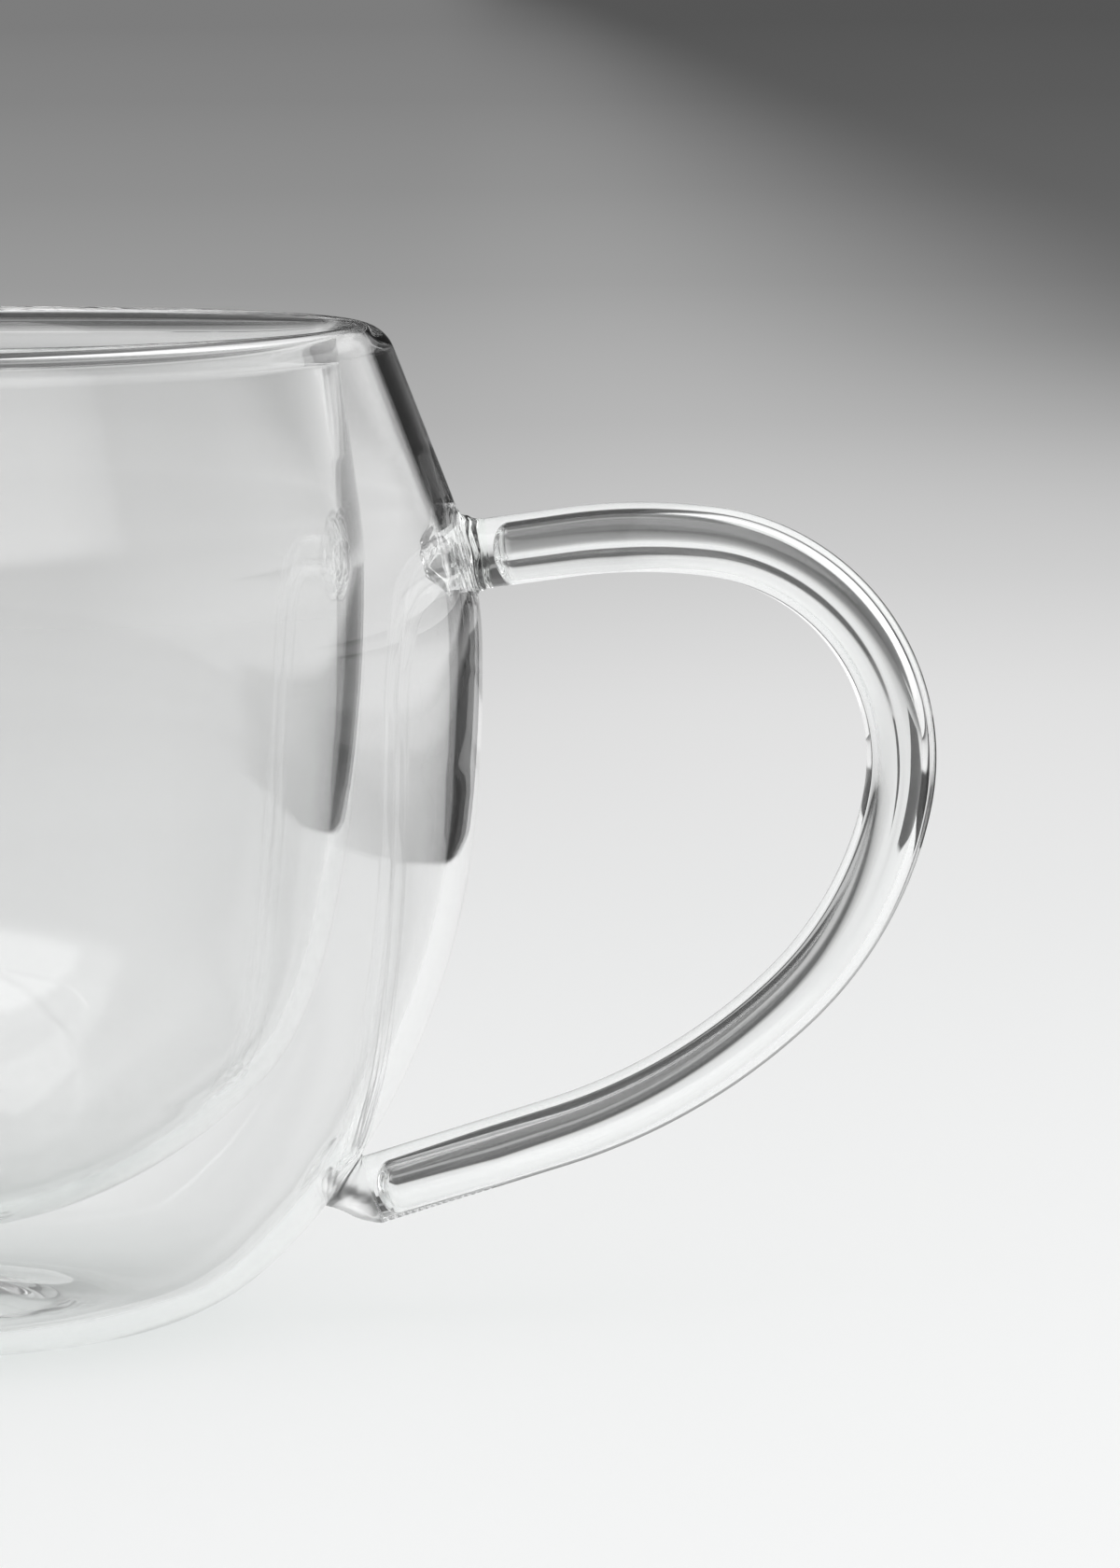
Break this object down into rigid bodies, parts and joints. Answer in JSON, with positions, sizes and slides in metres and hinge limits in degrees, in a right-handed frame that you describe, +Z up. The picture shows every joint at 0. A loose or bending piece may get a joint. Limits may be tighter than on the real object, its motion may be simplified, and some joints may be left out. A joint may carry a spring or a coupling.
{
  "type": "double walled glass cup",
  "caption": "Clear double walled glass cup with a round belly, a rolled rim and a bent glass rod handle, for hot or cold drinks.",
  "frame": {"origin": "on the cup's axis, in the plane of the ring it stands on", "axes": "+Z up along the cup's axis, +X towards the handle, Y across the handle's plane"},
  "size_m": [0.1327, 0.0952, 0.083],
  "materials": {
    "outer_glass": "clear, fire polished",
    "inner_glass": "clear, fire polished",
    "handle_glass": "clear, fire polished",
    "weld_glass": "clear, melted and slightly rippled",
    "silicone": "translucent, matt"
  },
  "bodies": {
    "root": {"outer_shell": "outer_glass", "inner_bowl": "inner_glass", "handle": "handle_glass", "upper_weld": "weld_glass", "lower_weld": "weld_glass", "vent_plug": "silicone"}
  },
  "joints": []
}
